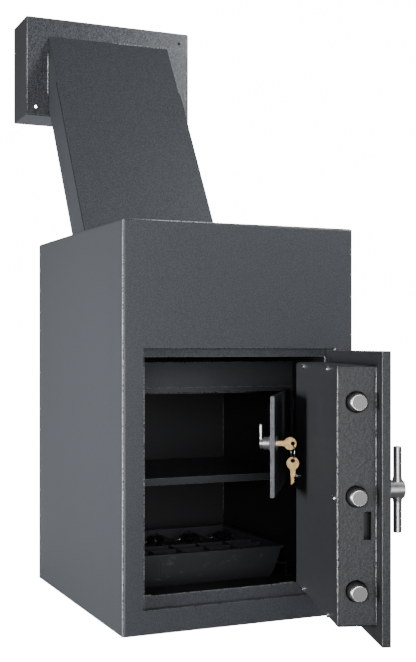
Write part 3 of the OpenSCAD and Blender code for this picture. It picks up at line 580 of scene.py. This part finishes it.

# Welds at the chute's head, whose bright crumbs are a painted highlight, then thin beads along bends and
# folded edges, coloured as painted highlight lines for the light those edges catch.
# Each line: name, start, end, radius, body, seed of its waviness, material.
BEADS = (
    ("weld_chute_left", (-0.1334, HEAD_Y, 0.957), (-0.1334, HEAD_Y, 1.046),
     0.0015, "cabinet", 1.0, "weld_highlight"),
    ("weld_chute_right", (0.1314, HEAD_Y, 0.990), (0.1314, HEAD_Y, 1.079),
     0.0013, "cabinet", 2.0, "weld_highlight"),
    ("weld_chute_top", (0.005, HEAD_Y, 1.0815), (0.1320, HEAD_Y, 1.0815),
     0.0012, "cabinet", 3.0, "inner_edge_highlight"),
    ("seam_hood_left", (-SEAM_X, SEAM_Y, SEAM_Z0), (-SEAM_X, SEAM_Y, SEAM_Z1),
     0.0007, "cabinet", 5.0, "weld_highlight"),
    ("seam_hood_right", (SEAM_X, SEAM_Y, SEAM_Z0), (SEAM_X, SEAM_Y, SEAM_Z1),
     0.0009, "cabinet", 6.0, "edge"),
    ("highlight_bead_front_left", (LEFT, FRONT, 0.004), (LEFT, FRONT, TOP - 0.008),
     0.0007, "cabinet", 11.0, "edge"),
    ("highlight_bead_front_top", (LEFT + 0.006, FRONT, TOP), (SHELL_HIGH[0] - 0.004, FRONT, TOP),
     0.0007, "cabinet", 12.0, "edge"),
    ("highlight_bead_housing_back", (BACK_X, BACK_Y, 0.0650), (BACK_X, BACK_Y, 0.4105),
     0.0015, "main_door", 13.0, "inner_edge_highlight"),
    ("highlight_bead_housing_foot", (FOOT_X, FOOT_Y, 0.0650), (FOOT_X, FOOT_Y, 0.4110),
     0.0010, "main_door", 14.0, "inner_edge_highlight"),
    ("highlight_bead_open_left", (OPEN_X, OPEN_Y, OPEN_Z0), (OPEN_X, OPEN_Y, OPEN_Z1),
     0.0006, "cabinet", 16.0, "frame_highlight_line"),
    ("highlight_bead_header", (-0.168, HEADER_Y, HEADER_Z), (0.115, HEADER_Y, HEADER_Z),
     0.0007, "cabinet", 17.0, "trim_highlight"),
    ("highlight_bead_sill_top", (-0.160, STOP_Y, STOP_Z), (0.153, STOP_Y, STOP_Z),
     0.0008, "cabinet", 18.0, "trim_highlight"),
    ("highlight_bead_sill_front", (-0.1645, SILL_Y, SILL_Z), (0.160, SILL_Y, SILL_Z),
     0.0006, "cabinet", 19.0, "trim_highlight"),
    ("highlight_bead_corner_upper", (CORNER_X, CORNER_Y, 0.222), (CORNER_X, CORNER_Y, 0.350),
     0.0009, "cabinet", 20.0, "trim_highlight"),
    ("highlight_bead_corner_lower", (CORNER_X, CORNER_Y, 0.100), (CORNER_X, CORNER_Y, 0.204),
     0.0009, "cabinet", 21.0, "trim_highlight"),
    ("highlight_bead_plate", (RIM_X, RIM_Y, 0.043), (RIM_X, RIM_Y, 0.429),
     0.0008, "main_door", 15.0, "inner_edge_highlight"),
)


def tick(mesh_data, centre, angle, inner, outer, half_width, face_y, height):
    """Raised graduation on a face that looks towards -Y."""
    along = Vector((math.sin(angle), 0, math.cos(angle)))
    across = Vector((math.cos(angle), 0, -math.sin(angle)))
    corners = [centre + along * r + across * w for r, w in
               ((inner, -half_width), (inner, half_width), (outer, half_width), (outer, -half_width))]
    low = [mesh_data.verts.new(Vector((c.x, face_y + 0.0001, c.z))) for c in corners]
    high = [mesh_data.verts.new(Vector((c.x, face_y - height, c.z))) for c in corners]
    mesh_data.faces.new(low)
    mesh_data.faces.new(high[::-1])
    for k in range(4):
        mesh_data.faces.new((low[k], high[k], high[(k + 1) % 4], low[(k + 1) % 4]))


def dial_number(value, centre, angle, radius, face_y):
    """Mesh of a number that stands upright at the top of the dial when turned there."""
    curve = bpy.data.curves.new("number", "FONT")
    curve.body = str(value)
    curve.size = 0.0052
    curve.align_x = "CENTER"
    curve.align_y = "CENTER"
    curve.extrude = 0.00012
    text = bpy.data.objects.new("number", curve)
    bpy.context.scene.collection.objects.link(text)
    mesh = bpy.data.meshes.new_from_object(text.evaluated_get(bpy.context.evaluated_depsgraph_get()))
    bpy.data.objects.remove(text)
    upright = Matrix.Rotation(math.radians(90), 4, "X")
    out = Vector((math.sin(angle) * radius, 0, math.cos(angle) * radius))
    mesh.transform(Matrix.Translation(Vector((centre.x, face_y, centre.z)) + out)
                   @ Matrix.Rotation(angle, 4, "Y") @ upright)
    return mesh


DIAL_CENTRE = Vector((0, 0, 0.338))
DIAL_FACE, RING_FACE = -0.2535, -0.250
MARK_OUTER, NUMBER_RADIUS, INDEX_INNER = 0.0303, 0.0237, 0.0343
TEN_MARK, FIVE_MARK, ONE_MARK = (0.0268, 0.00035), (0.0276, 0.0002), (0.0285, 0.0002)


def add_dial_marks():
    """Hundred graduations and ten numbers on the dial, and the opening index on its ring."""
    marks = bmesh.new()
    for k in range(100):
        inner, half_width = TEN_MARK if k % 10 == 0 else FIVE_MARK if k % 5 == 0 else ONE_MARK
        tick(marks, DIAL_CENTRE, math.radians(3.6 * k), inner, MARK_OUTER, half_width, DIAL_FACE, 0.0002)
    for k in range(10):
        marks.from_mesh(dial_number(10 * k, DIAL_CENTRE, math.radians(36 * k), NUMBER_RADIUS, DIAL_FACE))
    added_piece("dial_marks", marks, "white", "dial", door_matrix())
    index = bmesh.new()
    tick(index, DIAL_CENTRE, 0.0, INDEX_INNER, 0.0368, 0.0006, RING_FACE, 0.0003)
    for side in (-1, 1):
        tick(index, DIAL_CENTRE, math.radians(3.2 * side), INDEX_INNER, 0.0356, 0.0004, RING_FACE, 0.0003)
    added_piece("dial_index", index, "white", "main_door", door_matrix())


make_camera()
make_floor()
make_light()
ease_nodes()
for row in BEADS:
    bead(*row)
add_dial_marks()
